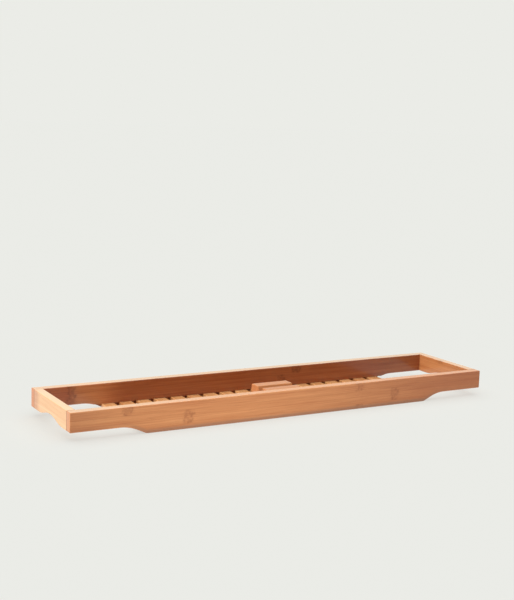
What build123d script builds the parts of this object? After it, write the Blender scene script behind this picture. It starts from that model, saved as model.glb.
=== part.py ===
from build123d import *
import os
from math import cos, radians, sin, tan

# A bath caddy of laminated bamboo: two long rails, two end boards, a slatted floor and a rest block.
# X runs along the rails, Y from the front to the back, and Z up. Millimetres and degrees throughout.
# The origin lies under the middle of the caddy, level with the underside of the deep rails.

# Frame
overall_length = 700
overall_depth = 155
rail_height = 40
rail_thickness = 14
end_thickness = 13
edge_ease = 1.2
edge_break = 0.8

# Underside of the rails: shallow ends lie on the tub's rims, and the deep middle hangs between them
rim_drop = 12
rim_reach = 111.5
slope_angle = 25
hollow_radius = 60
foot_radius = 12

# Finger arch under each end board
arch_span = 76
arch_slope = 15
arch_crown_radius = 80
arch_foot_radius = 60

# Slatted floor, housed in a groove along each rail, which runs out through the slopes
slat_count = 18
slat_width = 19
slat_overhang = 8.6
slat_thickness = 5
slat_ease = 0.9
slat_tongue = 5
groove_lip = 4
groove_slip = 0.15
groove_end_gap = 0.5

# Rest block with a leaning slot, which holds a book or a screen upright
rest_width = 60
rest_depth = 46
rest_rise = 25.7
rest_setback = 19.5
rest_lip = 15
rest_round = 3
rest_break = 1
slot_width = 11
slot_depth = 17
slot_lean = 21
slot_round = 1.5

# Dowels in the corner joints
dowel_diameter = 6
dowel_in_rail = 9
dowel_in_board = 14
dowel_glue_gap = 0.05
dowel_end_gap = 0.5
dowel_height_shares = (0.3, 0.72)

# Countersunk screws that hold the rest block from below, two in each slat whose middle lies within
# the last share of a slat pitch from the middle of the floor
screw_diameter = 3.5
screw_length = 16
screw_head_diameter = 7
screw_head_depth = 2
screw_tip_length = 3
screw_clearance = 0.25
screw_place_shares = (0.13, 0.8)
screwed_slat_share = 0.75

overrun = 1

# Sizes that follow from the ones above
half_length = overall_length / 2
half_depth = overall_depth / 2
inner_half_depth = half_depth - rail_thickness
foot_x = half_length - rim_reach
shoulder_x = foot_x + rim_drop / tan(radians(slope_angle))
end_height = rail_height - rim_drop
slat_top = groove_lip + slat_thickness
outer_slat_x = foot_x + slat_overhang - slat_width / 2
slat_pitch = 2 * outer_slat_x / (slat_count - 1)
rest_front = -inner_half_depth + rest_setback
rest_top = slat_top + rest_rise


def block(x_from, x_to, y_from, y_to, z_from, z_to):
    """A square-edged block between two planes on each axis."""
    size = Box(x_to - x_from, y_to - y_from, z_to - z_from)
    return Pos((x_from + x_to) / 2, (y_from + y_to) / 2, (z_from + z_to) / 2) * size


def dowel_places():
    """Height of each dowel in a corner joint."""
    return [rim_drop + share * end_height for share in dowel_height_shares]


def corner_cylinders(side, radius, spare):
    """Cylinders along Y across the corner joints on one side, each spare longer at both ends."""
    length = dowel_in_rail + dowel_in_board + 2 * spare
    middle = inner_half_depth + (dowel_in_rail - dowel_in_board) / 2
    x_places = (-half_length + end_thickness / 2, half_length - end_thickness / 2)
    turned = Rot(90, 0, 0) * Cylinder(radius, length)
    return [Pos(x, side * middle, z) * turned for x in x_places for z in dowel_places()]


def dowel_holes(side):
    """Drilled holes for the dowels on one side, with room for glue."""
    return corner_cylinders(side, dowel_diameter / 2 + dowel_glue_gap, dowel_end_gap)


def rail_outline():
    """Side view of a rail: a straight top, shallow ends, and a deep middle between two slopes."""
    corners = [
        (-half_length, rail_height),
        (half_length, rail_height),
        (half_length, rim_drop),
        (shoulder_x, rim_drop),
        (foot_x, 0),
        (-foot_x, 0),
        (-shoulder_x, rim_drop),
        (-half_length, rim_drop),
    ]
    outline = make_face(Polyline(*corners, close=True))
    feet = outline.vertices().filter_by_position(Axis.Y, -overrun, overrun)
    outline = fillet(feet, foot_radius)
    near_shoulder = outline.vertices().filter_by_position(Axis.Y, rim_drop - overrun, rim_drop + overrun)
    shoulders = [corner for corner in near_shoulder if abs(corner.X) < half_length - overrun]
    return fillet(shoulders, hollow_radius)


def low_edges(board, across):
    """Lower edges of a board's two broad faces, which lie across the given axis."""
    broad = board.faces().sort_by(across)
    below = rim_drop + edge_ease
    return [edge for face in (broad[0], broad[-1]) for edge in face.edges() if edge.center().Z < below]


def front_rail():
    """Front rail with eased edges, the groove for the slats and the dowel holes."""
    rail = extrude(Plane.XZ.offset(inner_half_depth) * rail_outline(), rail_thickness)
    # The upright inner corners stay sharp, because the end boards meet the rail flush there
    outer_corners = rail.faces().sort_by(Axis.Y)[0].edges().filter_by(Axis.Z)
    rail = fillet(outer_corners + rail.faces().sort_by(Axis.Z)[-1].edges(), edge_ease)
    rail = chamfer(low_edges(rail, Axis.Y), edge_break)
    groove_bottom = -inner_half_depth - slat_tongue - groove_end_gap
    rail -= block(-half_length, half_length, groove_bottom, -inner_half_depth + overrun,
                  groove_lip, slat_top + groove_slip)
    for hole in dowel_holes(-1):
        rail -= hole
    return rail


def end_outline():
    """Front view of an end board, seen along X: flat feet and a soft arch for the fingers."""
    apex = rim_drop + arch_span / 2 * tan(radians(arch_slope))
    corners = [
        (-inner_half_depth, rail_height),
        (inner_half_depth, rail_height),
        (inner_half_depth, rim_drop),
        (arch_span / 2, rim_drop),
        (0, apex),
        (-arch_span / 2, rim_drop),
        (-inner_half_depth, rim_drop),
    ]
    outline = make_face(Polyline(*corners, close=True))
    middle = outline.vertices().filter_by_position(Axis.X, -overrun, overrun)
    outline = fillet(middle, arch_crown_radius)
    low = outline.vertices().filter_by_position(Axis.Y, rim_drop - overrun, rim_drop + overrun)
    feet = [corner for corner in low if abs(corner.X) < inner_half_depth - overrun]
    return fillet(feet, arch_foot_radius)


def left_end():
    """End board between the rails, with its long edges eased and its butt ends square."""
    board = extrude(Plane.YZ.offset(-half_length) * end_outline(), end_thickness)
    board = fillet(board.faces().sort_by(Axis.Z)[-1].edges().filter_by(Axis.Y), edge_ease)
    board = chamfer(low_edges(board, Axis.X), edge_break)
    for side in (-1, 1):
        for hole in dowel_holes(side):
            board -= hole
    return board


def slat_places():
    """Place of each slat along X, evenly spaced about the middle."""
    return [(number - (slat_count - 1) / 2) * slat_pitch for number in range(slat_count)]


def screw_places():
    """Place of each screw in X and Y, under the rest block."""
    x_places = [x for x in slat_places() if abs(x) < screwed_slat_share * slat_pitch]
    return [(x, rest_front + share * rest_depth) for x in x_places for share in screw_place_shares]


def screw_body(spare):
    """Countersunk screw that points up from the underside of the slat, spare wider all round."""
    shank_radius = screw_diameter / 2 + spare
    head_radius = screw_head_diameter / 2 + spare
    shank_end = screw_length - screw_tip_length
    profile = Polyline(
        (0, 0),
        (head_radius, 0),
        (shank_radius, screw_head_depth),
        (shank_radius, shank_end),
        (0, screw_length + spare),
        close=True,
    )
    return Pos(0, 0, groove_lip) * revolve(Plane.XZ * make_face(profile), Axis.Z)


def rest_outline():
    """Side view of the rest block, seen along X: a front lip, a slot that leans back, and a back."""
    mouth_front = rest_front + rest_lip
    mouth_width = slot_width / cos(radians(slot_lean))
    rest_back = rest_front + rest_depth
    lean_y = slot_depth * sin(radians(slot_lean))
    lean_z = slot_depth * cos(radians(slot_lean))
    across_y = slot_width * cos(radians(slot_lean))
    across_z = slot_width * sin(radians(slot_lean))
    floor_front = (mouth_front - lean_y, rest_top - lean_z)
    floor_back = (floor_front[0] + across_y, floor_front[1] - across_z)
    corners = [
        (rest_front, slat_top),
        (rest_front, rest_top),
        (mouth_front, rest_top),
        floor_front,
        floor_back,
        (mouth_front + mouth_width, rest_top),
        (rest_back, rest_top),
        (rest_back, slat_top),
    ]
    outline = make_face(Polyline(*corners, close=True))
    inside = rest_top - slot_round
    bed = outline.vertices().filter_by_position(Axis.Y, slat_top + overrun, inside)
    outline = fillet(bed, slot_round)
    top = outline.vertices().filter_by_position(Axis.Y, inside, rest_top + overrun).sort_by(Axis.X)
    outline = fillet(top[1:-1], slot_round)
    top = outline.vertices().filter_by_position(Axis.Y, inside, rest_top + overrun).sort_by(Axis.X)
    return fillet([top[0], top[-1]], rest_round)


def book_rest():
    """Rest block with its sides chamfered all round, drilled from below for its screws."""
    rest = extrude(Plane.YZ * rest_outline(), rest_width / 2, both=True)
    sides = rest.faces().sort_by(Axis.X)
    rims = [edge for side in (sides[0], sides[-1]) for edge in side.edges() if edge.center().Z > slat_top]
    rest = chamfer(rims, rest_break)
    for x, y in screw_places():
        rest -= Pos(x, y, 0) * screw_body(0)
    return rest


def slat(x):
    """One floor slat with eased upper edges, its ends in the grooves, and holes for its screws, if any."""
    reach = inner_half_depth + slat_tongue
    strip = block(x - slat_width / 2, x + slat_width / 2, -reach, reach, groove_lip, slat_top)
    strip = fillet(strip.faces().sort_by(Axis.Z)[-1].edges().filter_by(Axis.Y), slat_ease)
    for hole_x, hole_y in screw_places():
        if hole_x == x:
            strip -= Pos(hole_x, hole_y, 0) * screw_body(screw_clearance)
    return strip


def save(name, shape):
    """Write one node as a STEP file named after it."""
    shape.label = name
    export_step(shape, "parts/" + name + ".step")


os.makedirs("parts", exist_ok=True)

rail = front_rail()
save("front_rail", rail)
save("back_rail", mirror(rail, Plane.XZ))

board = left_end()
save("left_end", board)
save("right_end", mirror(board, Plane.YZ))

for number, x in enumerate(slat_places()):
    save("slat_%02d" % (number + 1), slat(x))

save("book_rest", book_rest())
save("rest_screws", Compound([Pos(x, y, 0) * screw_body(0) for x, y in screw_places()]))

dowels = [pin for side in (-1, 1) for pin in corner_cylinders(side, dowel_diameter / 2, 0)]
save("corner_dowels", Compound(dowels))
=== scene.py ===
# %% [markdown]
# # A bath caddy of laminated bamboo
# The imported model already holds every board, slat, dowel and screw at its true size. This lesson
# gives them the look of carbonised bamboo under a satin lacquer, makes the screws and dowels in
# finer detail, and sets up a plain studio. Lengths are metres in the model's own frame, and
# millimetres inside the materials.

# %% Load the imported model
import math

import bpy
import numpy as np
from mathutils import Matrix, Vector


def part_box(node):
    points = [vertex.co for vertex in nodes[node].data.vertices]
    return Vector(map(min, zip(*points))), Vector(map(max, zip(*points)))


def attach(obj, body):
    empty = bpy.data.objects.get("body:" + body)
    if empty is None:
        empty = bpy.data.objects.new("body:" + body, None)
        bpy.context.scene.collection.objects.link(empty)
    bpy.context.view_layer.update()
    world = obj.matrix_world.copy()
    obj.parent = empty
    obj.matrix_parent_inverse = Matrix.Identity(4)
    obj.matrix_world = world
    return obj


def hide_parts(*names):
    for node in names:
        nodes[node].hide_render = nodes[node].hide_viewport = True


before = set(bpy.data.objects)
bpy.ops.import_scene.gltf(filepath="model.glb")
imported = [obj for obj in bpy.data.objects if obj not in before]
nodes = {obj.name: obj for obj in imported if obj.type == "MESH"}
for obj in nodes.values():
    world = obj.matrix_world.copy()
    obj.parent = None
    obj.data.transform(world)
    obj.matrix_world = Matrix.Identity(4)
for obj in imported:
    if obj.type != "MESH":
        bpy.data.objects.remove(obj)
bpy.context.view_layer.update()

# %% [markdown]
# ## The camera
# The object is seen from the front left, a little above its rim. Its four upper corners and the
# line of its underside give the place, the turn and the lens. A long lens keeps the far end nearly
# as tall as the near one, so the distance matters as much as the angle.

# %% Place the camera
CAMERA_PLACE = (-0.87837, -1.46955, 0.43255)
CAMERA_YAW, CAMERA_PITCH, CAMERA_ROLL = -0.5253, 0.1576, 0.0341
LENS_MM, SENSOR_MM = 68.967, 36
FAR_CLIP = 100

camera_data = bpy.data.cameras.new("studio_camera")
camera_data.lens = LENS_MM
camera_data.sensor_width = SENSOR_MM
camera_data.clip_end = FAR_CLIP
camera = bpy.data.objects.new("studio_camera", camera_data)
turn = Matrix.Rotation(CAMERA_YAW, 4, "Z") @ Matrix.Rotation(math.pi / 2 - CAMERA_PITCH, 4, "X")
roll = Matrix.Rotation(CAMERA_ROLL, 4, "Z")
camera.matrix_world = Matrix.Translation(CAMERA_PLACE) @ turn @ roll
bpy.context.scene.collection.objects.link(camera)
bpy.context.scene.camera = camera
bpy.context.scene.view_settings.view_transform = "Standard"
print("camera lens:", round(camera_data.lens, 2), "mm")

# %% [markdown]
# ## Three helpers for materials
# Paint and wood colours are usually written as sRGB hex values, but shaders count in linear light,
# so one function turns the first into the second. Another adds a node, sets it and links it, and
# every material below is written with it alone. The third starts a material with no nodes in it.

# %% Colours and nodes
# Inputs of a Mix node that mixes colours: the share of the second, the first and the second
SHARE, FIRST, SECOND = 0, 6, 7


def linear(code):
    """An sRGB hex colour as linear light.

    Near black it is c / 12.92, and elsewhere it is ((c + 0.055) / 1.055) ^ 2.4.
    """
    values = np.array([int(code[i:i + 2], 16) / 255 for i in (1, 3, 5)])
    light = np.where(values <= 0.04045, values / 12.92, ((values + 0.055) / 1.055) ** 2.4)
    return (*light.tolist(), 1.0)


def add(tree, kind, inputs=None, **settings):
    """Adds a node with its settings; an input is a node or a socket to link, or a value to set."""
    node = tree.nodes.new("ShaderNode" + kind)
    for name, value in settings.items():
        setattr(node, name, value)
    for key, value in (inputs or {}).items():
        if isinstance(value, bpy.types.Node):
            value = next(socket for socket in value.outputs if socket.enabled)
        if isinstance(value, bpy.types.NodeSocket):
            tree.links.new(value, node.inputs[key])
        else:
            node.inputs[key].default_value = value
    return node


def new_material(name):
    """An empty node material and its tree."""
    material = bpy.data.materials.new(name)
    material.use_nodes = True
    material.node_tree.nodes.clear()
    return material, material.node_tree


print("pale grey in linear light:", np.round(linear("#EBECE7")[:3], 3).tolist())

# %% [markdown]
# ## The studio
# A catalogue picture of such a caddy has a plain pale ground that runs into the background. Here
# the ground is one wide matt sheet, and the world shows the same colour to the camera and in
# reflections, so that no horizon is seen. The world itself lights the wood only weakly. To the
# camera the sheet is mostly its own flat colour, which keeps the shadow on it faint. It is clear
# from its lower side, so that a camera below it can look up at the caddy, and it lies a fifth of a
# millimetre under the caddy, so that the two never share a surface.

# %% A ray that is seen
def seen_ray(tree):
    """One for rays that the camera sees, straight or in a mirror or glass, and zero for light."""
    rays = add(tree, "LightPath").outputs
    seen = add(tree, "Math", {0: rays["Is Camera Ray"], 1: rays["Is Glossy Ray"]},
               operation="MAXIMUM")
    return add(tree, "Math", {0: seen, 1: rays["Is Transmission Ray"]}, operation="MAXIMUM")


print("seen_ray() is ready")

# %% Lay the floor
PALE = linear("#EBECE7")
FLOOR_PAPER = linear("#EDEEE9")
FLOOR_HALF = 40.0
FLOOR_LOWER = 0.0002
FLAT_SHARE = 0.7

floor_mesh = bpy.data.meshes.new("studio_floor")
corners = np.array([(-1, -1, 0), (1, -1, 0), (1, 1, 0), (-1, 1, 0)]) * FLOOR_HALF
corners = corners - (0, 0, FLOOR_LOWER)
floor_mesh.from_pydata(corners.tolist(), [], [(0, 1, 2, 3)])
floor = bpy.data.objects.new("studio_floor", floor_mesh)
bpy.context.scene.collection.objects.link(floor)

floor_paper, tree = new_material("matt_paper_floor")
paper = add(tree, "BsdfDiffuse", {"Color": FLOOR_PAPER, "Roughness": 0.0})
flat = add(tree, "Emission", {"Color": PALE, "Strength": 1.0})
share = add(tree, "Math", {0: seen_ray(tree), 1: FLAT_SHARE}, operation="MULTIPLY")
paper = add(tree, "MixShader", {0: share, 1: paper, 2: flat})
clear = add(tree, "BsdfTransparent")
below = add(tree, "NewGeometry").outputs["Backfacing"]
sheet = add(tree, "MixShader", {0: below, 1: paper, 2: clear})
add(tree, "OutputMaterial", {"Surface": sheet})
floor_mesh.materials.append(floor_paper)
print("floor sheet:", 2 * FLOOR_HALF, "m wide")

# %% Fill the world
WORLD_LIGHT = 0.12

world = bpy.data.worlds.new("studio_world")
world.use_nodes = True
tree = world.node_tree
tree.nodes.clear()
light = add(tree, "Background", {"Color": (1, 1, 1, 1), "Strength": WORLD_LIGHT})
shown = add(tree, "Background", {"Color": PALE, "Strength": 1.0})
both = add(tree, "MixShader", {0: seen_ray(tree), 1: light, 2: shown})
add(tree, "OutputWorld", {"Surface": both})
bpy.context.scene.world = world
print("world light:", WORLD_LIGHT)

# %% [markdown]
# ## The lamps
# A very wide overhead light gives the floor and the tops of the boards their level, with a soft
# shadow. A large soft box high on the left makes the left end the brightest face. One in front
# lifts the middle of the front rail, and is so low that hardly any of it falls inside. A weak
# light from straight below shows the underside to a camera down there and leaves alone what faces
# up or sideways. These last three light the wood alone, so the floor stays even, and the floor
# doesn't block the one from below. All three stay out of the mirror of the lacquer, where they
# would bleach the tops and the edges.

# %% Light that passes the floor by
wood_only = bpy.data.collections.new("lit_without_the_floor")
wood_only.objects.link(floor)
wood_only.collection_objects[0].light_linking.link_state = "EXCLUDE"
print("left out of the wood's own light:", floor.name)

# %% A lamp that shines towards a point
def lamp(name, kind, place, aim, energy, **settings):
    """A lamp at a place that shines towards another point."""
    data = bpy.data.lights.new(name, kind)
    data.energy = energy
    for setting, value in settings.items():
        setattr(data, setting, value)
    made = bpy.data.objects.new(name, data)
    towards = (Vector(aim) - Vector(place)).to_track_quat("-Z", "Y")
    made.matrix_world = Matrix.Translation(place) @ towards.to_matrix().to_4x4()
    made.visible_camera = False
    bpy.context.scene.collection.objects.link(made)
    return made


print("lamp() is ready")

# %% Place the lamps
MIDDLE, SUN_HEIGHT = (0, 0, 0), 3
OVERHEAD_STRENGTH, OVERHEAD_SPREAD = 2.68, math.radians(100)
KEY_PLACE, KEY_AIM = (-2.3, -0.10, 1.35), (0, 0, 0.03)
KEY_WATTS, KEY_SIZE = 41.0, 0.9
FRONT_PLACE, FRONT_AIM = (-0.11, -0.50, 0.03), (-0.11, 0, 0.02)
FRONT_WATTS, FRONT_WIDTH, FRONT_HEIGHT = 0.85, 0.25, 0.05
BELOW_STRENGTH, BELOW_SPREAD = 1.2, math.radians(2)

overhead = lamp("overhead_light", "SUN", (0, 0, SUN_HEIGHT), MIDDLE, OVERHEAD_STRENGTH,
                angle=OVERHEAD_SPREAD)
key_box = lamp("left_soft_box", "AREA", KEY_PLACE, KEY_AIM, KEY_WATTS, size=KEY_SIZE)
front_box = lamp("front_soft_box", "AREA", FRONT_PLACE, FRONT_AIM, FRONT_WATTS,
                 shape="RECTANGLE", size=FRONT_WIDTH, size_y=FRONT_HEIGHT)
under_light = lamp("light_from_below", "SUN", (0, 0, -SUN_HEIGHT), MIDDLE, BELOW_STRENGTH,
                   angle=BELOW_SPREAD)
for made in (key_box, front_box, under_light):
    made.light_linking.receiver_collection = wood_only
    made.visible_glossy = False
under_light.light_linking.blocker_collection = wood_only
print("lamps:", [made.name for made in (overhead, key_box, front_box, under_light)])

# %% [markdown]
# ## Board coordinates
# Laminated bamboo is glued from long strips, so its look follows the board and not the room. Each
# board reads its own X, Y and Z in millimetres, put in the order along the grain, across the
# strips and through the plies. Everything else in the material is measured in these three lengths.
# They come from Object coordinates, because Generated ones would stretch with a board's size.

# %% Board coordinates in millimetres
MM_PER_METRE = 1000.0


def places_in_mm(tree):
    """The piece's own coordinates in millimetres."""
    place = add(tree, "TexCoord").outputs["Object"]
    return add(tree, "VectorMath", {0: place, "Scale": MM_PER_METRE}, operation="SCALE")


def board_places(tree, axes):
    """Lengths along the grain, across the strips and through the plies, in millimetres."""
    split = add(tree, "SeparateXYZ", {0: places_in_mm(tree)})
    return [split.outputs[axis] for axis in axes]


print("grain runs along X in the rails and the rest, and along Y in the ends and slats")

# %% [markdown]
# ## Strips and plies
# A bamboo stalk is split and planed into strips about 20 mm wide and 5 mm thick, which are glued
# side by side and in layers. Rounding a length down to a whole number of strips gives each one its
# number, and white noise on that number gives it a tone of its own. Near a joint a thin line is
# darker.

# %% Number the strips and find the joints
def numbered(tree, length, joint, width):
    """Which strip a point is in, and how far it is from the nearest joint, in millimetres.

    The number is (length - joint) / width rounded down. The distance is the part that is rounded
    off, folded back at a half, times the width.
    """
    turns = add(tree, "Math", {0: length, 1: joint}, operation="SUBTRACT")
    turns = add(tree, "Math", {0: turns, 1: width}, operation="DIVIDE")
    number = add(tree, "Math", {0: turns}, operation="FLOOR")
    part = add(tree, "Math", {0: turns}, operation="FRACT")
    from_joint = add(tree, "Math", {0: part, 1: 0.5}, operation="PINGPONG")
    return number, add(tree, "Math", {0: from_joint, 1: width}, operation="MULTIPLY")


STRIP_WIDTH = 20.0
print("strip width:", STRIP_WIDTH, "mm, ply thickness 5 to 6 mm")

# %% [markdown]
# ## Node marks
# Bamboo has a ring at every joint of its stalk, and each planed strip keeps it as a darker oval
# about 2 cm long, 30 to 40 cm from the next. The oval is the distance from the node, along and
# across the strip, bent by noise, and its rim is a little darker than its middle. On the front
# rail these marks are where the photographed board has them.

# %% Places of the nodes of the stalk
def from_node(tree, along, number, ply, tone, marks):
    """Distance along a strip from its nearest node, in millimetres.

    One node is at first + step |number| + ply_shift ply + spread tone, and the others are spacing
    + spacing_step |number| apart.
    """
    order = add(tree, "Math", {0: number}, operation="ABSOLUTE")
    first = add(tree, "Math", {0: order, 1: marks["step"], 2: marks["first"]},
                operation="MULTIPLY_ADD")
    first = add(tree, "Math", {0: ply, 1: marks["ply_shift"], 2: first},
                operation="MULTIPLY_ADD")
    first = add(tree, "Math", {0: tone, 1: marks["spread"], 2: first},
                operation="MULTIPLY_ADD")
    spacing = add(tree, "Math", {0: order, 1: marks["spacing_step"], 2: marks["spacing"]},
                  operation="MULTIPLY_ADD")
    half = add(tree, "Math", {0: spacing, 1: 0.5}, operation="MULTIPLY")
    less = add(tree, "Math", {0: spacing, 1: -0.5}, operation="MULTIPLY")
    away = add(tree, "Math", {0: along, 1: first}, operation="SUBTRACT")
    return add(tree, "Math", {0: away, 1: half, 2: less}, operation="WRAP")


print("from_node() is ready")

# %% Ovals round the nodes
# Distances are in millimetres. A length across the strip counts for OVAL_ACROSS of one along it
OVAL_ACROSS = 0.55
OVAL_EDGE, OVAL_FULL, OVAL_SHARE = 12.0, 3.0, 0.75
RIM_MIDDLE, RIM_HALF, RIM_SHARE = 5.5, 2.6, 0.4
# The noise that bends the oval and the one that makes it patchy, with grains per millimetre
BEND_REACH, BEND_SCALE = 13.0, 0.13
PATCH_SCALE, PATCH_LOW, PATCH_HIGH = 0.22, 0.36, 0.60
PATCH_LEAST, PATCH_MOST = 0.35, 1.1


def node_marks(tree, away, across, along, from_joint, ply):
    """How strongly a point is in a node mark: a soft oval and its rim, made patchy by noise.

    The distance from the node is the length of (distance along, OVAL_ACROSS x distance from the
    strip's middle), plus noise that takes away as often as it adds.
    """
    aside = add(tree, "Math", {0: STRIP_WIDTH / 2, 1: from_joint}, operation="SUBTRACT")
    aside = add(tree, "Math", {0: aside, 1: OVAL_ACROSS}, operation="MULTIPLY")
    flat_place = add(tree, "CombineXYZ", {0: away, 1: aside})
    oval = add(tree, "VectorMath", {0: flat_place}, operation="LENGTH").outputs["Value"]
    place = add(tree, "CombineXYZ", {0: along, 1: across, 2: ply})
    bend = add(tree, "TexNoise", {"Vector": place, "Scale": BEND_SCALE, "Detail": 2.0})
    oval = add(tree, "Math", {0: bend, 1: BEND_REACH, 2: oval}, operation="MULTIPLY_ADD")
    oval = add(tree, "Math", {0: oval, 1: BEND_REACH / 2}, operation="SUBTRACT")
    patch = add(tree, "MapRange", {"Value": oval, "From Min": OVAL_EDGE, "From Max": OVAL_FULL,
                                   "To Max": OVAL_SHARE}, interpolation_type="SMOOTHSTEP")
    rim = add(tree, "Math", {0: oval, 1: RIM_MIDDLE}, operation="SUBTRACT")
    rim = add(tree, "Math", {0: rim}, operation="ABSOLUTE")
    rim = add(tree, "MapRange", {"Value": rim, "From Min": RIM_HALF, "From Max": 0.0,
                                 "To Max": RIM_SHARE}, interpolation_type="SMOOTHSTEP")
    both = add(tree, "Math", {0: patch, 1: rim}, operation="ADD")
    patchy = add(tree, "TexNoise", {"Vector": place, "Scale": PATCH_SCALE, "Detail": 3.0})
    patchy = add(tree, "MapRange", {"Value": patchy, "From Min": PATCH_LOW,
                                    "From Max": PATCH_HIGH, "To Min": PATCH_LEAST,
                                    "To Max": PATCH_MOST})
    return add(tree, "Math", {0: both, 1: patchy}, operation="MULTIPLY")


print("node marks about 20 mm long and as wide as the strip")

# %% [markdown]
# ## Fibres
# Between the nodes the fibres run straight. Three noises stretched along the grain draw them: slow
# changes of tone, streaks, and the short dark dashes of the sap channels. Real channels are 0.3 mm
# wide, and the streaks are drawn at 1.5 mm and more, because anything finer is lost in the picture.

# %% Stretched noises
def stretched(tree, along, across, through, sizes, **inputs):
    """Noise whose grains are as long, wide and thick as the sizes say, in millimetres."""
    scaled = [add(tree, "Math", {0: value, 1: size}, operation="DIVIDE")
              for value, size in zip((along, across, through), sizes)]
    place = add(tree, "CombineXYZ", dict(enumerate(scaled)))
    return add(tree, "TexNoise", {"Vector": place, "Scale": 1.0, **inputs})


print("stretched() is ready")

# %% From noises to tones
TONE_SIZE = (170.0, 5.0, 5.0)
STREAK_SIZE = (60.0, 1.5, 1.5)
CHANNEL_SIZE = (14.0, 0.35, 0.35)
STRIP_SHIFT = 900.0
DASH_FROM, DASH_FULL = 0.60, 0.72
TONE_WEIGHT, STREAK_WEIGHT, STRIP_WEIGHT, CENTRE = 1.3, 1.5, 0.3, -1.05


def fibre_tones(tree, own, along, across, through):
    """How pale a point is, from 0 to 1, with the streaks and the dashes on their own as well.

    Paleness is the weighted sum of the slow tone, the streak and the strip's own number, moved by
    CENTRE. That number also slides the pattern along, so that no two strips are alike.
    """
    moved = add(tree, "Math", {0: own, 1: STRIP_SHIFT, 2: along}, operation="MULTIPLY_ADD")
    tone = stretched(tree, moved, across, through, TONE_SIZE, Detail=2.0)
    streak = stretched(tree, moved, across, through, STREAK_SIZE, Detail=3.0)
    channel = stretched(tree, moved, across, through, CHANNEL_SIZE, Detail=1.0)
    dash = add(tree, "MapRange", {"Value": channel, "From Min": DASH_FROM,
                                  "From Max": DASH_FULL})
    pale = add(tree, "Math", {0: tone, 1: TONE_WEIGHT, 2: CENTRE}, operation="MULTIPLY_ADD")
    pale = add(tree, "Math", {0: streak, 1: STREAK_WEIGHT, 2: pale}, operation="MULTIPLY_ADD")
    pale = add(tree, "Math", {0: own, 1: STRIP_WEIGHT, 2: pale}, operation="MULTIPLY_ADD",
               use_clamp=True)
    return pale, streak, dash


print("fibre patterns in mm:", TONE_SIZE, STREAK_SIZE, CHANNEL_SIZE)

# %% [markdown]
# ## Painted shade and joint lines on the rails
# The lower edge of a rail is darker in its deep middle, a painted shade on the edge that turns away
# from the light. That band follows the outline, which climbs 12 mm between 238.5 and 264.2 mm from
# the middle of the rail. On the ends of a rail, a dark line marks the joint with the end board.
# Both could be painted on by hand, but they follow from a point's place on the board, so they are
# worked out from it.

# %% The painted shade of the lower edge and the joint line
RISE, SLOPE_FROM, SLOPE_TO = 12.0, 238.5, 264.2
BAND_TOP, BAND_FULL = 7.5, 2.5
SHADE_MIDDLE, SHADE_ENDS = 0.85, 0.15
JOINT_OUTER, JOINT_FULL, JOINT_SHARE = 66.5, 64.5, 0.5


def painted_low_shade(tree, along, across):
    """How much painted shade a point of a rail takes: strong near the outline of the underside, and
    fading above.
    """
    side = add(tree, "Math", {0: along}, operation="ABSOLUTE")
    slope = {"Value": side, "From Min": SLOPE_FROM, "From Max": SLOPE_TO}
    outline = add(tree, "MapRange", {**slope, "To Max": RISE})
    shade_along = add(tree, "MapRange", {**slope, "To Min": SHADE_MIDDLE, "To Max": SHADE_ENDS})
    above = add(tree, "Math", {0: across, 1: outline}, operation="SUBTRACT")
    band = add(tree, "MapRange", {"Value": above, "From Min": BAND_TOP, "From Max": BAND_FULL},
               interpolation_type="SMOOTHSTEP")
    return add(tree, "Math", {0: band, 1: shade_along}, operation="MULTIPLY")


def joint_line(tree, through, cut):
    """How dark a point of a rail's end is: most at its inner side, and none on uncut faces."""
    inner = add(tree, "Math", {0: through}, operation="ABSOLUTE")
    line = add(tree, "MapRange", {"Value": inner, "From Min": JOINT_OUTER,
                                  "From Max": JOINT_FULL, "To Max": JOINT_SHARE})
    return add(tree, "Math", {0: line, 1: cut}, operation="MULTIPLY")


print("dull band:", BAND_TOP, "mm high")

# %% [markdown]
# ## Carbonised bamboo under satin lacquer
# Steaming turns pale bamboo to a warm caramel, and the boards are sanded and sprayed with a thin
# satin lacquer. That gives the eye a warm even brown with fine lines along the grain, pinkish ends
# where the fibres are cut across, and a soft shine that grows strong at a low angle. Upper faces
# are painted paler, as painted top light and painted sheen, least so on the right of the front
# rail. A picture of a board could be wrapped round each piece, but a pattern that fills space runs
# through the wood and meets itself at every edge and in every groove. Its colour is laid on in
# layers, from the wood's own two browns up, and each layer has a share that says where it shows.

# %% Faces of a board
# A normal's part towards an axis, from where a face starts to count to where it counts in full
UP_FROM, UP_FULL = 0.8, 0.98
CUT_FROM, CUT_FULL = 0.6, 0.85


def faces(tree, axes, top_light_share):
    """How much a face that looks up takes the painted top light, at most top_light_share, and how
    much a face is a cut end.
    """
    facing = add(tree, "SeparateXYZ", {0: add(tree, "TexCoord").outputs["Normal"]})
    painted_top_share = add(tree, "MapRange", {"Value": facing.outputs[axes[1]], "From Min": UP_FROM,
                                   "From Max": UP_FULL, "To Max": top_light_share})
    cut = add(tree, "Math", {0: facing.outputs[axes[0]]}, operation="ABSOLUTE")
    cut = add(tree, "MapRange", {"Value": cut, "From Min": CUT_FROM, "From Max": CUT_FULL})
    return painted_top_share, cut


print("faces() is ready")

# %% The lacquered surface
ROUGH_LEAST, ROUGH_MOST, CUT_ROUGHER = 0.30, 0.48, 0.18
RELIEF_METRES = 0.00006


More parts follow.
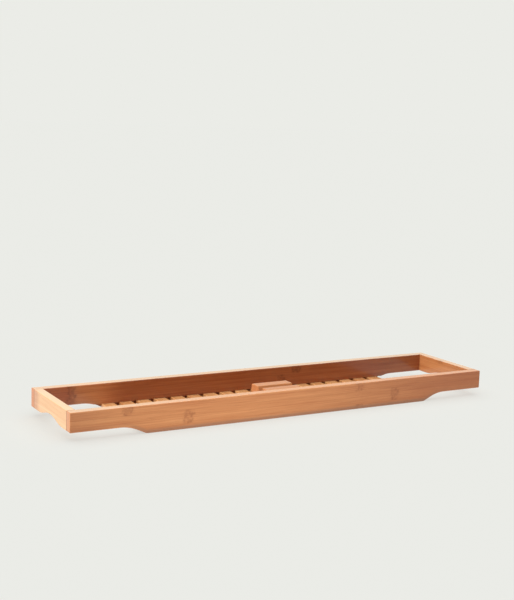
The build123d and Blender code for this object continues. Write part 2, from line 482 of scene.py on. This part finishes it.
def satin_lacquer(tree, wood, streak, dash, glue, cut, coat):
    """Wood under a satin coat of that weight, rougher on cut ends, with its fibres in relief.

    Height = streak - dash - glue, and 1 of it is RELIEF_METRES.
    """
    rough = add(tree, "MapRange", {"Value": streak, "To Min": ROUGH_LEAST,
                                   "To Max": ROUGH_MOST})
    rough = add(tree, "Math", {0: cut, 1: CUT_ROUGHER, 2: rough}, operation="MULTIPLY_ADD")
    height = add(tree, "Math", {0: streak, 1: dash}, operation="SUBTRACT")
    height = add(tree, "Math", {0: height, 1: glue}, operation="SUBTRACT")
    bump = add(tree, "Bump", {"Height": height, "Strength": 0.35, "Distance": RELIEF_METRES})
    return add(tree, "BsdfPrincipled", {"Base Color": wood, "Roughness": rough, "Normal": bump,
                                        "IOR": 1.5, "Specular IOR Level": 0.2,
                                        "Coat Weight": coat, "Coat Roughness": 0.16})


print("satin_lacquer() is ready")

# %% Lines, marks and glue of a board
GLUE_EDGE, GLUE_FULL, GLUE_SHARE = 0.45, 0.1, 0.14


def grown_and_glued(tree, places, strips, plies, marks, seed):
    """The wood's own pattern: how pale a point is, its streak and dash, its node mark and glue.

    Strips and plies are given by the place of one joint and their width. Each strip of each ply
    has a number of its own, from 0 to 1, and the glue shows near the nearest joint of either.
    """
    along, across, through = places
    strip, from_strip = numbered(tree, across, *strips)
    ply, from_ply = numbered(tree, through, *plies)
    key = add(tree, "CombineXYZ", {0: strip, 1: ply, 2: float(seed)})
    own = add(tree, "TexWhiteNoise", {"Vector": key}, noise_dimensions="3D").outputs["Value"]
    paleness, streak, dash = fibre_tones(tree, own, along, across, through)
    away = from_node(tree, along, strip, ply, own, marks)
    mark = node_marks(tree, away, across, along, from_strip, ply)
    mark = add(tree, "Math", {0: mark, 1: marks["strength"]}, operation="MULTIPLY")
    joint = add(tree, "Math", {0: from_strip, 1: from_ply}, operation="MINIMUM")
    glue = add(tree, "MapRange", {"Value": joint, "From Min": GLUE_EDGE, "From Max": GLUE_FULL,
                                  "To Max": GLUE_SHARE})
    return paleness, streak, dash, mark, glue


print("grown_and_glued() is ready")

# %% Build the bamboo material
END_GRAIN = "#DB996C"
RAIL_END_GRAIN = "#F6AE7D"
GLUE_LINE = "#7E4A28"
# Painted top light and painted sheen, which upper faces take in place of light
PAINTED_TOP_LIGHT = "#E99F58"
PAINTED_TOP_SHEEN = "#EDC596"
LOW_EDGE_SHADE = "#9B6C50"
DASH_SHARE, END_SHARE = 0.22, 0.45
SHEEN_FROM, SHEEN_TO = -20.0, -315.0


def bamboo(name, axes, strips, plies, marks, pale, deep, node_colour, seed,
           drifts=(), top_light_share=0.0, top_light_colour=PAINTED_TOP_LIGHT, end_grain=END_GRAIN, rail=False,
           coat=0.75):
    """A bamboo board: fibres between two browns, and layers of colour for all that lies over them.

    Each drift is a tint that grows between two places along the grain, and top_light_share is how
    much the upper faces take top_light_colour, a painted top light and sheen. A rail also has a
    painted shade on its lower edge, its joint line, and a painted sheen on its upper face that
    grows towards its left end. Coat is the weight of the lacquer.
    """
    material, tree = new_material(name)
    places = board_places(tree, axes)
    along, across, through = places
    paleness, streak, dash, mark, glue = grown_and_glued(tree, places, strips, plies, marks, seed)
    dashes = add(tree, "Math", {0: dash, 1: DASH_SHARE}, operation="MULTIPLY")
    layers = [("MIX", dashes, linear(GLUE_LINE)), ("MIX", mark, linear(node_colour)),
              ("MIX", glue, linear(GLUE_LINE))]
    for starts, ends, tint in drifts:
        drift = add(tree, "MapRange", {"Value": along, "From Min": starts, "From Max": ends},
                    interpolation_type="SMOOTHSTEP")
        layers.append(("MULTIPLY", drift, linear(tint)))

    painted_top_share, cut = faces(tree, axes, top_light_share)
    end_share = add(tree, "Math", {0: cut, 1: END_SHARE}, operation="MULTIPLY")
    # Painted light: upper faces take a paler colour, and on a rail a painted sheen grows to the
    # left
    painted_top = linear(top_light_colour)
    if rail:
        # Painted shade on the lower edge of a rail, strongest in its deep middle
        layers.append(("MIX", painted_low_shade(tree, along, across), linear(LOW_EDGE_SHADE)))
        sheen_to_left = add(tree, "MapRange", {"Value": along, "From Min": SHEEN_FROM, "From Max": SHEEN_TO})
        painted_top = add(tree, "Mix", {SHARE: sheen_to_left, FIRST: painted_top, SECOND: linear(PAINTED_TOP_SHEEN)},
                     data_type="RGBA")
    layers += [("MIX", painted_top_share, painted_top), ("MIX", end_share, linear(end_grain))]
    if rail:
        layers.append(("MIX", joint_line(tree, through, cut), linear(GLUE_LINE)))
    wood = add(tree, "Mix", {SHARE: paleness, FIRST: linear(deep), SECOND: linear(pale)},
               data_type="RGBA")
    for blend, share, colour in layers:
        wood = add(tree, "Mix", {SHARE: share, FIRST: wood, SECOND: colour}, data_type="RGBA",
                   blend_type=blend)
    lacquered = satin_lacquer(tree, wood, streak, dash, glue, cut, coat)
    add(tree, "OutputMaterial", {"Surface": lacquered})
    return material


print("bamboo() is ready")

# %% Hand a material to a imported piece
def dress(name, material):
    """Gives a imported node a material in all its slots."""
    for slot in nodes[name].material_slots:
        slot.material = material


print("dress() is ready")

# %% [markdown]
# ## The two long rails
# Each rail is a board 40 mm high, glued from three strips over its height and three plies through
# its thickness. The front one is the best lit piece of all. The back rail shows its inner side,
# which is a slightly darker board, and part of that darkness is painted shade on that side. One
# material could serve both, but no two real boards are alike, so each rail has its own colours and
# node places.

# %% Dress the rails
RAIL_STRIPS = (7.5, STRIP_WIDTH)
RAIL_MARKS = {"first": -175.0, "step": -92.0, "ply_shift": 137.0, "spread": 0.0,
              "spacing": 355.0, "spacing_step": 27.0, "strength": 0.55}
BACK_RAIL_MARKS = {**RAIL_MARKS, "first": -294.0, "step": 0.0}

# Painted shade: the front rail grows darker towards its right end and, a little, at its far left
# end, where less light falls on it
front_wood = bamboo(
    "front_rail_carbonised_bamboo", "XZY", RAIL_STRIPS, (-78.9, 5.6), RAIL_MARKS,
    pale="#D18F59", deep="#B76F3F", node_colour="#95542C", seed=3,
    drifts=[(60.0, 330.0, "#EED8D0"), (-280.0, -330.0, "#F4F0F1")],
    top_light_share=0.6, end_grain=RAIL_END_GRAIN, rail=True)
# The back rail darkens from 286 to 302 mm left of its middle towards its left end, where its node
# mark stands. It is painted darker in shade from 205 mm left of its middle to its right end, which
# leaves a painted pool of light near its left end.
back_wood = bamboo(
    "back_rail_carbonised_bamboo", "XZY", RAIL_STRIPS, (62.1, 5.6), BACK_RAIL_MARKS,
    pale="#D28B58", deep="#B4693E", node_colour="#76391A", seed=8,
    drifts=[(-286.0, -302.0, "#E6C8AE"), (-262.0, -205.0, "#D2BEB3")],
    top_light_share=0.7, top_light_colour=PAINTED_TOP_SHEEN, end_grain=RAIL_END_GRAIN, rail=True)
dress("front_rail", front_wood)
dress("back_rail", back_wood)
print("rails dressed")

# %% [markdown]
# ## The two end boards
# The end boards have their grain along the short side of the frame. The left one is painted much
# paler than the right, which partly paints in the strong light that falls on it from the left, and
# it grows a little darker towards its back end. The one on the right has a small dark node spot
# near its upper edge. Giving the axes in another order turns the whole pattern with the board, with
# no Mapping node.

# %% Dress the end boards
RIGHT_END_MARKS = {"first": 120.0, "step": -111.0, "ply_shift": 0.0, "spread": 0.0,
                   "spacing": 340.0, "spacing_step": 0.0, "strength": 0.45}
LEFT_END_MARKS = {**RIGHT_END_MARKS, "step": 40.0}

# Painted light: the left board's pale colours stand partly for the strong light on it from the left
left_wood = bamboo(
    "left_end_carbonised_bamboo", "YZX", (4.0, STRIP_WIDTH), (-351.5, 5.3), LEFT_END_MARKS,
    pale="#F7C694", deep="#E6AE78", node_colour="#C48C5A", seed=5,
    drifts=[(38.0, 58.0, "#E4D2D1")], top_light_share=0.7, top_light_colour=PAINTED_TOP_SHEEN)
right_wood = bamboo(
    "right_end_carbonised_bamboo", "YZX", (15.0, STRIP_WIDTH), (336.1, 5.3), RIGHT_END_MARKS,
    pale="#DA945E", deep="#BD7340", node_colour="#8A4E27", seed=2,
    top_light_share=0.6, top_light_colour=PAINTED_TOP_SHEEN)
dress("left_end", left_wood)
dress("right_end", right_wood)
print("end boards dressed")

# %% [markdown]
# ## The slats
# Each slat is a single planed strip, so one material serves all of them: the strip number counts
# slats across the floor, and its noise gives each a tone and a node place of its own.

# %% Dress the slats
SLAT_PITCH = 27.95
SLAT_MARKS = {"first": 0.0, "step": 0.0, "ply_shift": 0.0, "spread": 400.0,
              "spacing": 400.0, "spacing_step": 0.0, "strength": 0.45}

slat_wood = bamboo(
    "slat_carbonised_bamboo", "YXZ", (0.0, SLAT_PITCH), (2.0, 9.0), SLAT_MARKS,
    pale="#EBB579", deep="#CA8A53", node_colour="#A8693C", seed=4)
slat_names = sorted(name for name in nodes if name.startswith("slat_"))
for name in slat_names:
    dress(name, slat_wood)
print("slats dressed:", len(slat_names))

# %% [markdown]
# ## The rest block
# The block is sawn from a thick laminated blank, so its sides show many plies, and its slot cuts
# through them. The pattern fills space, so it is right on each cut face without more work. The
# block's lip shines less than the rails, so its lacquer is thinner.

# %% Dress the rest block
REST_MARKS = {"first": 70.0, "step": 45.0, "ply_shift": 33.0, "spread": 0.0,
              "spacing": 300.0, "spacing_step": 0.0, "strength": 0.4}

rest_wood = bamboo(
    "rest_carbonised_bamboo", "XYZ", (-31.0, STRIP_WIDTH), (13.0, 5.5), REST_MARKS,
    pale="#D8935B", deep="#BC7442", node_colour="#985830", seed=6, coat=0.25)
dress("book_rest", rest_wood)
print("rest block dressed")

# %% [markdown]
# ## Turned surfaces
# A screw and a dowel are both turned shapes: a circle whose size changes along a line, with a
# thread or flutes that depend on the angle as well. Both are written as two tables, radius and
# height, with a row for each step along the axis and a column for each angle. A pole closes each
# end.

# %% From two tables to a closed mesh
SHARP_ANGLE = math.radians(40)


def turned(name, radius, height, places, axis):
    """Point = place + (radius cos a, radius sin a, height), one closed skin for each place.

    Quads join row i to i + 1 and column j to j + 1, and triangles join the end rows to their
    poles.
    """
    rows, columns = radius.shape
    angle = np.linspace(0, 2 * np.pi, columns, endpoint=False)
    ring = np.stack([radius * np.cos(angle), radius * np.sin(angle), height], axis=-1)
    poles = np.array([(0, 0, height[0].mean()), (0, 0, height[-1].mean())])
    points = np.concatenate([ring.reshape(-1, 3), poles])
    if axis == "Y":
        points = points[:, (0, 2, 1)] * (-1, 1, 1)
    index = np.arange(rows * columns).reshape(rows, columns)
    after = np.roll(index, -1, axis=1)
    quads = np.stack([index[:-1], after[:-1], after[1:], index[1:]], axis=-1).reshape(-1, 4)
    first, last = rows * columns, rows * columns + 1
    start = np.stack([np.full(columns, first), after[0], index[0]], axis=-1)
    end = np.stack([np.full(columns, last), index[-1], after[-1]], axis=-1)
    shift = np.arange(len(places))[:, None, None] * len(points)
    all_points = (points + np.array(places)[:, None]).reshape(-1, 3)
    all_quads = (quads + shift).reshape(-1, 4)
    all_triangles = (np.concatenate([start, end]) + shift).reshape(-1, 3)
    mesh = bpy.data.meshes.new(name)
    mesh.from_pydata(all_points.tolist(), [], all_quads.tolist() + all_triangles.tolist())
    mesh.polygons.foreach_set("use_smooth", np.ones(len(mesh.polygons), bool))
    mesh.set_sharp_from_angle(angle=SHARP_ANGLE)
    made = bpy.data.objects.new(name, mesh)
    bpy.context.scene.collection.objects.link(made)
    return made


print("turned() is ready")

# %% [markdown]
# ## The rest's four screws
# Countersunk wood screws, 3.5 by 16 mm, come up through the two middle slats into the block. From
# below, only their heads with a cross recess are seen. The recess is a dent where either X or Y is
# small. The thread is a ridge whose height follows the distance along the axis less the share of a
# turn, which is what makes it a spiral.

# %% The head of a screw
HEAD_RADIUS, HEAD_DEPTH = 0.0035, 0.002
RECESS_HALF_ARM, RECESS_WALL = 0.00055, 0.0002
RECESS_REACH, RECESS_END_WALL = 0.0019, 0.0003
RECESS_DEPTH = 0.0013
# Shares of the head's radius at its innermost ring and where its cone ends, and numbers of rings
FACE_INNER, FACE_ROWS = 0.04, 26
CONE_END, CONE_ROWS = 0.4, 6

columns = 64
around = np.arange(columns) / columns
face_r = np.linspace(FACE_INNER, 1.0, FACE_ROWS)[:, None] * HEAD_RADIUS * np.ones(columns)
x, y = face_r * np.cos(2 * np.pi * around), face_r * np.sin(2 * np.pi * around)
arm = np.clip((RECESS_HALF_ARM - np.minimum(abs(x), abs(y))) / RECESS_WALL, 0, 1)
reach = np.clip((RECESS_REACH - face_r) / RECESS_END_WALL, 0, 1)
face_z = RECESS_DEPTH * arm * reach * (1 - face_r / HEAD_RADIUS)
cone_r = np.linspace(1, CONE_END, CONE_ROWS)[1:, None] * HEAD_RADIUS * np.ones(columns)
cone_z = np.linspace(0, HEAD_DEPTH, CONE_ROWS)[1:, None] * np.ones(columns)
print("deepest point of the recess:", round(face_z.max() * MM_PER_METRE, 2), "mm")

# %% The shank of a screw
ROOT_RADIUS, THREAD_RADIUS = 0.00125, 0.00172
THREAD_PITCH = 0.0015
SHANK_FROM, SHANK_TO, SHANK_ROWS = 0.0021, 0.01595, 110
THREAD_FROM, THREAD_FADE = 0.0028, 0.0015
SCREW_LENGTH, TIP_LENGTH = 0.016, 0.003
# A tooth is a triangle wave made steeper and cut off at its foot
TOOTH_STEEPER, TOOTH_CUT = 1.8, 0.8

shank_z = np.linspace(SHANK_FROM, SHANK_TO, SHANK_ROWS)[:, None] * np.ones(columns)
tooth = 1 - 2 * abs((shank_z / THREAD_PITCH - around) % 1 - 0.5)
fade = np.clip((shank_z - THREAD_FROM) / THREAD_FADE, 0, 1)
ridge = np.clip(tooth * TOOTH_STEEPER - TOOTH_CUT, 0, 1) * fade
taper = np.clip((SCREW_LENGTH - shank_z) / TIP_LENGTH, 0, 1)
shank_r = (ROOT_RADIUS + (THREAD_RADIUS - ROOT_RADIUS) * ridge) * taper
print("turns of thread:", round((SHANK_TO - THREAD_FROM) / THREAD_PITCH, 1))

# %% Make the screws
radius = np.concatenate([face_r, cone_r, shank_r])
height = np.concatenate([face_z, cone_z, shank_z])
low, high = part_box("rest_screws")
screw_places = [(x, y, low.z)
                for x in (low.x + HEAD_RADIUS, high.x - HEAD_RADIUS)
                for y in (low.y + HEAD_RADIUS, high.y - HEAD_RADIUS)]
screws = turned("rest_wood_screws", radius, height, screw_places, "Z")
print("screws:", len(screw_places), "faces:", len(screws.data.polygons))

# %% [markdown]
# ## Bright zinc plate
# The screws are steel with a thin electroplated zinc coat. It is a bluish silver, a little cloudy,
# with fine scratches from the barrel it was plated in, so the shine changes from spot to spot. A
# slow noise gives the cloud, and a fine one the scratches.

# %% Zinc for the screws
# Grains per millimetre
CLOUD_SCALE, SCRATCH_SCALE = 0.9, 9.0

zinc, tree = new_material("bright_zinc_plated_steel")
place = places_in_mm(tree)
cloud = add(tree, "TexNoise", {"Vector": place, "Scale": CLOUD_SCALE, "Detail": 3.0})
scratch = add(tree, "TexNoise", {"Vector": place, "Scale": SCRATCH_SCALE, "Detail": 2.0})
silver = add(tree, "Mix", {SHARE: cloud, FIRST: linear("#B9BEC2"), SECOND: linear("#D8D8D2")},
             data_type="RGBA")
shine = add(tree, "MapRange", {"Value": scratch, "To Min": 0.18, "To Max": 0.42})
relief = add(tree, "Bump", {"Height": scratch, "Strength": 0.15, "Distance": 0.00003})
metal = add(tree, "BsdfPrincipled", {"Base Color": silver, "Metallic": 1.0, "Roughness": shine,
                                     "Normal": relief})
add(tree, "OutputMaterial", {"Surface": metal})
screws.data.materials.append(zinc)
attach(screws, "root")
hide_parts("rest_screws")
print("zinc plate ready")

# %% [markdown]
# ## The corner dowels
# Eight beech dowels, 6 by 23 mm, hold the rails to the end boards, two in each joint. They are
# glued in and never seen, but a part that is taken apart shows them: chamfered ends, and flutes
# that let the glue out. A flute is a wave in the radius that depends on the angle alone.

# %% Make the dowels
DOWEL_RADIUS, DOWEL_LENGTH = 0.003, 0.023
DOWEL_FLUTES, FLUTE_DEPTH = 12, 0.07
# Distance from one end, and share of the full radius
DOWEL_PROFILE = np.array([(0.0, 0.3), (0.0, 0.76), (0.0007, 1.0), (0.002, 1.0), (0.0115, 1.0),
                          (0.021, 1.0), (0.0223, 1.0), (0.023, 0.76), (0.023, 0.3)])

columns = 96
angle = 2 * np.pi * np.arange(columns) / columns
flute = 1 - FLUTE_DEPTH * np.clip(np.cos(DOWEL_FLUTES * angle), 0, 1) ** 2
height = (DOWEL_PROFILE[:, :1] - DOWEL_LENGTH / 2) * np.ones(columns)
radius = DOWEL_PROFILE[:, 1:] * DOWEL_RADIUS * flute
low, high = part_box("corner_dowels")
dowel_places = [(x, y, z)
                for x in (low.x + DOWEL_RADIUS, high.x - DOWEL_RADIUS)
                for y in (low.y + DOWEL_LENGTH / 2, high.y - DOWEL_LENGTH / 2)
                for z in (low.z + DOWEL_RADIUS, high.z - DOWEL_RADIUS)]
dowels = turned("fluted_corner_dowels", radius, height, dowel_places, "Y")
print("dowels:", len(dowel_places), "faces:", len(dowels.data.polygons))

# %% [markdown]
# ## Turned beech
# Beech is a pale pinkish wood with short darker flecks, a millimetre or so long, along its grain.
# The dowels are left raw, so there is no lacquer and hardly any shine. The stretched noise of the
# bamboo serves here too, long for the grain and short for the flecks.

# %% Beech for the dowels
GRAIN_SIZE = (30.0, 0.8, 0.8)
FLECK_SIZE = (1.8, 0.3, 0.3)
FLECK_FROM, FLECK_FULL, FLECK_SHARE = 0.62, 0.72, 0.5

beech, tree = new_material("turned_raw_beech")
along, across, through = board_places(tree, "YXZ")
grain = stretched(tree, along, across, through, GRAIN_SIZE, Detail=3.0)
fleck = stretched(tree, along, across, through, FLECK_SIZE, Detail=0.0)
fleck = add(tree, "MapRange", {"Value": fleck, "From Min": FLECK_FROM, "From Max": FLECK_FULL,
                               "To Max": FLECK_SHARE})
pink = add(tree, "Mix", {SHARE: grain, FIRST: linear("#C79A72"), SECOND: linear("#E2C09A")},
           data_type="RGBA")
pink = add(tree, "Mix", {SHARE: fleck, FIRST: pink, SECOND: linear("#9A6B48")},
           data_type="RGBA")
dull = add(tree, "MapRange", {"Value": grain, "To Min": 0.55, "To Max": 0.75})
relief = add(tree, "Bump", {"Height": grain, "Strength": 0.3, "Distance": 0.0001})
raw = add(tree, "BsdfPrincipled", {"Base Color": pink, "Roughness": dull, "Normal": relief,
                                   "IOR": 1.5})
add(tree, "OutputMaterial", {"Surface": raw})
dowels.data.materials.append(beech)
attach(dowels, "root")
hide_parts("corner_dowels")
print("beech ready")
